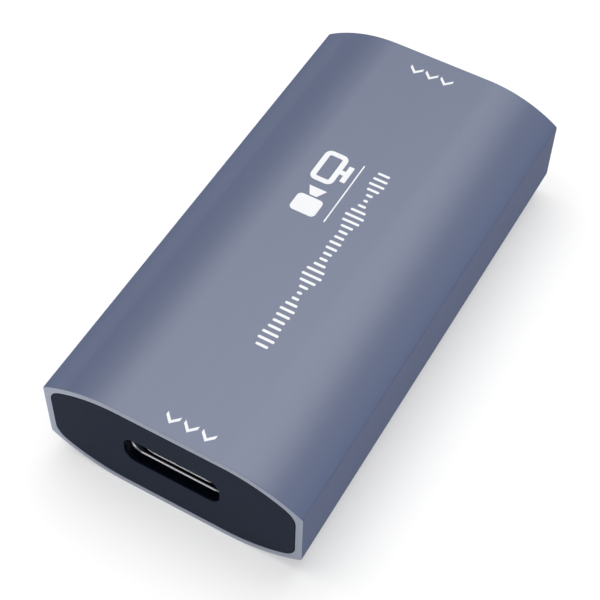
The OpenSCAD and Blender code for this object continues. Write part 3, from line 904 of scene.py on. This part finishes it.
def mark_ends(bm):
    """Paints the tinned ends of each small two-ended part."""
    for solid in islands(bm):
        spans = [(max(v.co[i] for v in solid), min(v.co[i] for v in solid)) for i in range(2)]
        axis = 0 if spans[0][0] - spans[0][1] > spans[1][0] - spans[1][1] else 1
        high, low = spans[axis]
        for face in {f for v in solid for f in v.link_faces}:
            place = face.calc_center_median()[axis]
            if min(high - place, place - low) < TERMINAL_L:
                face.material_index = 1


def crown_sheet(bm, x0, y0, x1, y1, columns=1):
    """A flat sheet on the crown between two corners."""
    size = Matrix.Diagonal((x1 - x0, y1 - y0, 1, 1))
    place = Matrix.Translation(((x0 + x1) / 2, (y0 + y1) / 2, TOP))
    return bmesh.ops.create_grid(
        bm, x_segments=columns, y_segments=1, size=0.5, matrix=place @ size
    )["verts"]


def crown_bar(bm, x0, y0, x1, y1, corner_r):
    """A flat bar on the crown with rounded corners."""
    before = set(bm.faces)
    bmesh.ops.bevel(
        bm, geom=crown_sheet(bm, x0, y0, x1, y1), affect="VERTICES", offset=corner_r,
        segments=MARK_STEPS, profile=0.5, material=-1,
    )
    return next(face for face in bm.faces if face not in before)


def screen_mark(bm):
    """A screen on its stand; its top is towards -X."""
    x0, y0, x1, y1 = SCREEN_MARK
    base = x1 - SCREEN_STAND
    foot = x1 - MARK_STROKE
    middle = (y0 + y1) / 2
    face = crown_bar(bm, x0, y0, base, y1, SCREEN_ROUND)
    bmesh.ops.inset_region(
        bm, faces=[face], thickness=MARK_STROKE, use_even_offset=True, use_boundary=True
    )
    bmesh.ops.delete(bm, geom=[face], context="FACES")
    crown_sheet(bm, base, middle - MARK_STROKE / 2, foot, middle + MARK_STROKE / 2)
    crown_bar(bm, foot, middle - SCREEN_FOOT, x1, middle + SCREEN_FOOT, MARK_ROUND)


def camera_mark(bm):
    """A film camera seen from the side; its lens is towards +Y and widens away from the body."""
    x0, y0, x1, y1 = CAMERA_MARK
    middle = (x0 + x1) / 2
    lens_y = y1 - LENS_L
    crown_bar(bm, x0, y0, x1, lens_y - LENS_GAP, CAMERA_ROUND)
    lens = crown_sheet(bm, middle - LENS_W / 2, lens_y, middle + LENS_W / 2, y1)
    narrow = [v for v in lens if v.co.y < lens_y + TINY]
    about = Matrix.Translation((-middle, 0, 0))
    bmesh.ops.scale(bm, verts=narrow, vec=(LENS_TAPER, 1, 1), space=about)


def level_row(bm):
    """A row of level bars along the box, standing evenly about one straight line."""
    start, end = LEVELS_Y
    pitch = (end - start - LEVELS_W) / (LEVELS_COUNT - 1)
    for i in range(LEVELS_COUNT):
        swell = math.sin(LEVELS_BEAT * i) * math.cos(LEVELS_DRIFT * i + LEVELS_START)
        height = LEVELS_LOW + (LEVELS_HIGH - LEVELS_LOW) * (1 + swell) / 2
        y = start + i * pitch
        crown_bar(bm, LEVELS_X - height / 2, y, LEVELS_X + height / 2, y + LEVELS_W, LEVELS_ROUND)


def port_arrows(bm, span, y):
    """A row of chevrons across the box, pointing towards -Y, the way the signal runs."""
    start, end = span
    pitch = (end - start - ARROW_W) / (ARROW_COUNT - 1)
    for i in range(ARROW_COUNT):
        x = start + i * pitch
        sheet = crown_sheet(bm, x, y - ARROW_STROKE / 2, x + ARROW_W, y + ARROW_STROKE / 2, columns=2)
        point = [v for v in sheet if abs(v.co.x - x - ARROW_W / 2) < TINY]
        bmesh.ops.translate(bm, verts=point, vec=(0, -ARROW_L, 0))


def crown_print():
    """The white marks on the crown, as a thin layer of ink."""
    bm = bmesh.new()
    screen_mark(bm)
    camera_mark(bm)
    crown_bar(bm, RULE_X - RULE_W / 2, RULE_Y[0], RULE_X + RULE_W / 2, RULE_Y[1], RULE_ROUND)
    level_row(bm)
    port_arrows(bm, INPUT_ARROW_X, INPUT_ARROW_Y)
    port_arrows(bm, OUTPUT_ARROW_X, OUTPUT_ARROW_Y)
    bmesh.ops.translate(bm, verts=bm.verts, vec=(0, 0, -INK_SINK))
    layer = bmesh.ops.extrude_face_region(bm, geom=list(bm.faces))
    raised = [g for g in layer["geom"] if isinstance(g, bmesh.types.BMVert)]
    bmesh.ops.translate(bm, verts=raised, vec=(0, 0, INK_SINK + INK_T))
    return add_piece("crown_print", bm, [INK])


def floor():
    """A pale floor that reads as white and keeps the soft shadow."""
    bm = bmesh.new()
    bmesh.ops.create_grid(bm, x_segments=FLOOR_CELLS, y_segments=FLOOR_CELLS, size=FLOOR_HALF)
    mesh = bpy.data.meshes.new("pale_floor")
    bm.to_mesh(mesh)
    bm.free()
    finish = Finish(
        "pale_floor", (FLOOR_TONE,) * 3, roughness=0.85, spread=0.05,
        grain=0.5, grain_h=0.0, tone=0.004, amount=0.01,
    )
    finish.set("Specular IOR Level", 0.0)
    rays = add_node(finish.tree, "ShaderNodeLightPath").outputs
    seen = math_value(finish.tree, "MAXIMUM", rays["Is Camera Ray"], rays["Is Glossy Ray"])
    shown = math_value(finish.tree, "MAXIMUM", seen, rays["Is Transmission Ray"])
    finish.set("Emission Color", (1, 1, 1, 1))
    finish.set("Emission Strength", math_value(finish.tree, "MULTIPLY", shown, FLOOR_LIFT))
    mesh.materials.append(finish.material)
    ground = bpy.data.objects.new("pale_floor", mesh)
    scene.collection.objects.link(ground)


def soft_panel(name, place, width, length, radiance):
    """A rectangular lamp that faces the box."""
    lamp = bpy.data.lights.new(name, "AREA")
    lamp.shape = "RECTANGLE"
    lamp.size = width
    lamp.size_y = length
    lamp.energy = radiance * math.pi * width * length
    panel = bpy.data.objects.new(name, lamp)
    panel.location = place
    panel.rotation_euler = Vector(place).to_track_quat("Z", "Y").to_euler()
    scene.collection.objects.link(panel)


def studio_light():
    """A large softbox above, two smaller cards, and an even grey surround."""
    for lamp in LAMPS:
        soft_panel(*lamp)
    world = bpy.data.worlds.new("grey_surround")
    world.use_nodes = True
    world.node_tree.nodes["Background"].inputs["Color"].default_value = (1, 1, 1, 1)
    world.node_tree.nodes["Background"].inputs["Strength"].default_value = AMBIENT
    scene.world = world


def photo_camera():
    """The camera that took the photograph, solved from the box's corners."""
    lens = bpy.data.cameras.new("photo_camera")
    lens.lens = CAMERA_LENS
    lens.sensor_width = CAMERA_SENSOR
    lens.clip_start = CAMERA_NEAR
    camera = bpy.data.objects.new("photo_camera", lens)
    camera.rotation_mode = "QUATERNION"
    camera.location = CAMERA_AT
    camera.rotation_quaternion = CAMERA_TURN
    scene.collection.objects.link(camera)
    scene.camera = camera


housing_tube()
output_cap()
trim_ring()
data_shell()
input_cap()
video_shell()
crown_print()

small_piece("circuit_board", [BOARD], EDGE)
small_piece("data_socket_insulator", [SOCKET_PLASTIC], FINE_EDGE)
small_piece("data_socket_mid_plate", [STEEL], FINE_EDGE)
small_piece("data_socket_contacts", [GOLD], FINE_EDGE)
small_piece("video_socket_insulator", [SOCKET_PLASTIC], EDGE)
small_piece("video_socket_contacts", [GOLD], EDGE)
small_piece("socket_solder_joints", [SOLDER], EDGE)
small_piece("capture_processor", [RESIN], EDGE)
small_piece("thermal_pad", [SILICONE], PAD_EDGE)
small_piece("lane_switch", [RESIN], EDGE)
small_piece("settings_memory", [RESIN, SOLDER], EDGE, mark_leads("settings_memory", MEMORY_W))
for chip in ("core_regulator", "io_regulator"):
    small_piece(chip, [RESIN, SOLDER], EDGE, mark_leads(chip, REGULATOR_W))
small_piece("crystal", [CAN], CAN_EDGE)
small_piece(
    "power_inductor", [IRON, SOLDER], EDGE, mark_leads("power_inductor", INDUCTOR_W)
)
small_piece("reservoir_capacitors", [CERAMIC, SOLDER], FINEST_EDGE, mark_ends)
small_piece("decoupling_capacitors", [CERAMIC, SOLDER], FINEST_EDGE, mark_ends)
small_piece("signal_resistors", [GLAZE, SOLDER], FINEST_EDGE, mark_ends)
small_piece("surge_protectors", [RESIN, SOLDER], FINEST_EDGE, mark_ends)

floor()
studio_light()
photo_camera()
scene.view_settings.view_transform = "Standard"
